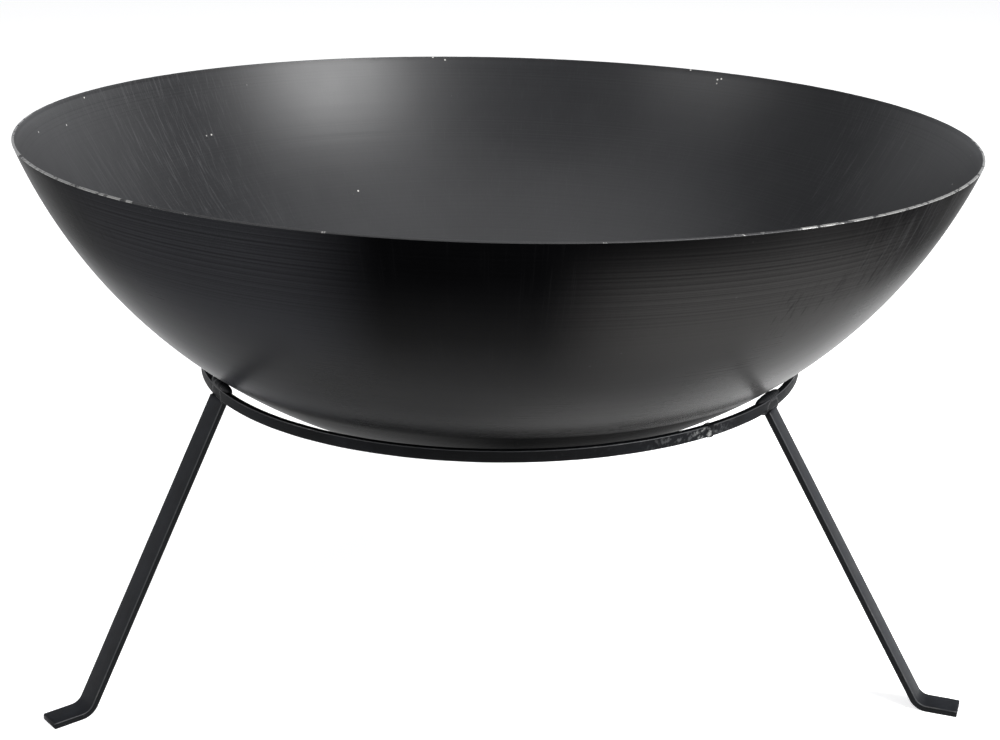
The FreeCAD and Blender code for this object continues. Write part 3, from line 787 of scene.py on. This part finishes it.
# SCUFFED_SIDE, SIDE_DARK and SIDE_LIGHT are darker copies of the bar paint for the narrow sides: painted
# shade.
SCUFFED, SCUFFED_SIDE = (0.060, 0.060, 0.063), (0.02, 0.02, 0.02)
LEG_DARK, LEG_LIGHT = (0.0040, 0.0045, 0.0060), (0.0120, 0.0132, 0.0165)
HOOP_DARK, HOOP_LIGHT = (0.0014, 0.0016, 0.0020), (0.0060, 0.0066, 0.0080)
SIDE_DARK, SIDE_LIGHT = (0.0018, 0.0020, 0.0024), (0.0050, 0.0054, 0.0064)
leg_face = bar_paint("leg_paint_face", LEG_DARK, LEG_LIGHT, SCUFFED, specular=0.16)
hoop_face = bar_paint("hoop_paint_face", HOOP_DARK, HOOP_LIGHT, SCUFFED, specular=0.05, hoop=True)
shaded_side_paint = bar_paint("stand_paint_side", SIDE_DARK, SIDE_LIGHT, SCUFFED_SIDE, specular=0.08)
corner_paint = bar_corner()
build_hoop([hoop_face, shaded_side_paint, corner_paint])
weld_material = weld_paint()
build_closing_weld(hoop_face)
for leg_label, leg_azimuth in LEG_AZIMUTHS.items():
    build_leg(leg_label, leg_azimuth, [leg_face, shaded_side_paint, corner_paint])
    build_leg_weld(leg_label, leg_azimuth, weld_material)


# ---------------------------------------------------------------- studio
def floor_material():
    """Pale matt floor with a little light of its own, so that it stays white under the object."""
    n = Nodes("studio_floor")
    point = n.add("ShaderNodeTexCoord").outputs["Object"]
    tone = n.noise(1.3, 3.0, 0.5, vector=point)
    colour = n.mix(tone, (0.80, 0.80, 0.80), (0.84, 0.84, 0.84))
    glow = {"Emission Color": (1.0, 1.0, 1.0, 1.0), "Emission Strength": 0.72}
    return n.finish(colour, 0.9, others=glow)


def build_floor():
    """Round floor, its rings closer together under the object."""
    radius, rings, segments = 9.0, 12, 96
    verts, faces = [Vector((0.0, 0.0, 0.0))], []
    for i in range(1, rings + 1):
        for s in range(segments):
            verts.append(direction_at(2 * math.pi * s / segments) * radius * (i / rings) ** 2)
    for s in range(segments):
        faces.append((0, 1 + s, 1 + (s + 1) % segments))
    for i in range(rings - 1):
        for s in range(segments):
            a, b, t = 1 + i * segments, 1 + (i + 1) * segments, (s + 1) % segments
            faces.append((a + s, b + s, b + t, a + t))
    make_object("studio_floor", verts, faces, [floor_material()])


ROOM_STRENGTH = 0.20
WALL_STRENGTH = 0.60
ROOM_TINT = (0.94, 0.96, 1.0, 1.0)


def build_world():
    """Dim room with a bright wall low down behind the object, as in a product studio."""
    world = bpy.data.worlds.new("studio")
    world.use_nodes = True
    nodes, links = world.node_tree.nodes, world.node_tree.links
    split = nodes.new("ShaderNodeSeparateXYZ")
    links.new(nodes.new("ShaderNodeTexCoord").outputs["Generated"], split.inputs[0])
    wall = nodes.new("ShaderNodeMath")
    wall.operation = "MULTIPLY"
    # Towards +Y, and low down.
    for number, (axis, start, end) in enumerate((("Y", -0.1, 0.6), ("Z", 0.55, 0.15))):
        share = nodes.new("ShaderNodeMapRange")
        share.interpolation_type = "SMOOTHSTEP"
        share.inputs["From Min"].default_value = start
        share.inputs["From Max"].default_value = end
        links.new(split.outputs[axis], share.inputs["Value"])
        links.new(share.outputs["Result"], wall.inputs[number])
    strength = nodes.new("ShaderNodeMath")
    strength.operation = "MULTIPLY_ADD"
    links.new(wall.outputs[0], strength.inputs[0])
    strength.inputs[1].default_value = WALL_STRENGTH
    strength.inputs[2].default_value = ROOM_STRENGTH
    background = nodes["Background"]
    background.inputs["Color"].default_value = ROOM_TINT
    links.new(strength.outputs[0], background.inputs["Strength"])
    bpy.context.scene.world = world


# Each soft light: its place, what it is aimed at, its width and height, and its watts.
LIGHTS = {
    "overhead": ((0.0, 0.3, 2.6), (0.0, 0.0, 0.2), (2.6, 2.6), 30.0),
    "key_right": ((1.72, -1.02, 1.75), (0.0, 0.1, 0.35), (1.2, 0.9), 100.0),
    "fill_left": ((-1.9, -1.0, 1.5), (0.0, 0.1, 0.35), (1.2, 0.9), 18.0),
    "low_right": ((1.45, -1.55, 0.32), (0.1, -0.1, 0.30), (1.2, 0.5), 10.0),
}


def soft_light(name, place, aim, size, power):
    """Rectangular area light turned towards a point."""
    data = bpy.data.lights.new(name, "AREA")
    data.shape = "RECTANGLE"
    data.size, data.size_y = size
    data.energy = power
    item = bpy.data.objects.new(name, data)
    item.location = place
    item.rotation_euler = (Vector(aim) - Vector(place)).to_track_quat("-Z", "Y").to_euler()
    bpy.context.scene.collection.objects.link(item)


build_floor()
build_world()
for light_name, light in LIGHTS.items():
    soft_light(light_name, *light)
scene = bpy.context.scene
scene.view_settings.view_transform = "Standard"

# Camera at the photograph's place: a 60 mm lens on a 36 mm wide frame.
CAMERA_AZIMUTH = math.radians(2.5)
CAMERA_DISTANCE = 1.3222
CAMERA_HEIGHT = 0.6614
CAMERA_PITCH = 0.3270
CAMERA_ROLL = 0.0055
camera_data = bpy.data.cameras.new("camera")
camera_data.lens = 60.0
camera_data.sensor_width = 36.0
camera = bpy.data.objects.new("camera", camera_data)
scene.collection.objects.link(camera)
bearing = Vector((math.sin(CAMERA_AZIMUTH), -math.cos(CAMERA_AZIMUTH), 0.0))
camera.location = bearing * CAMERA_DISTANCE + up(CAMERA_HEIGHT)
look = -bearing * math.cos(CAMERA_PITCH) - up(math.sin(CAMERA_PITCH))
level_camera = look.to_track_quat("-Z", "Y").to_matrix()
camera.rotation_euler = (level_camera @ Matrix.Rotation(CAMERA_ROLL, 3, "Z")).to_euler()
scene.camera = camera
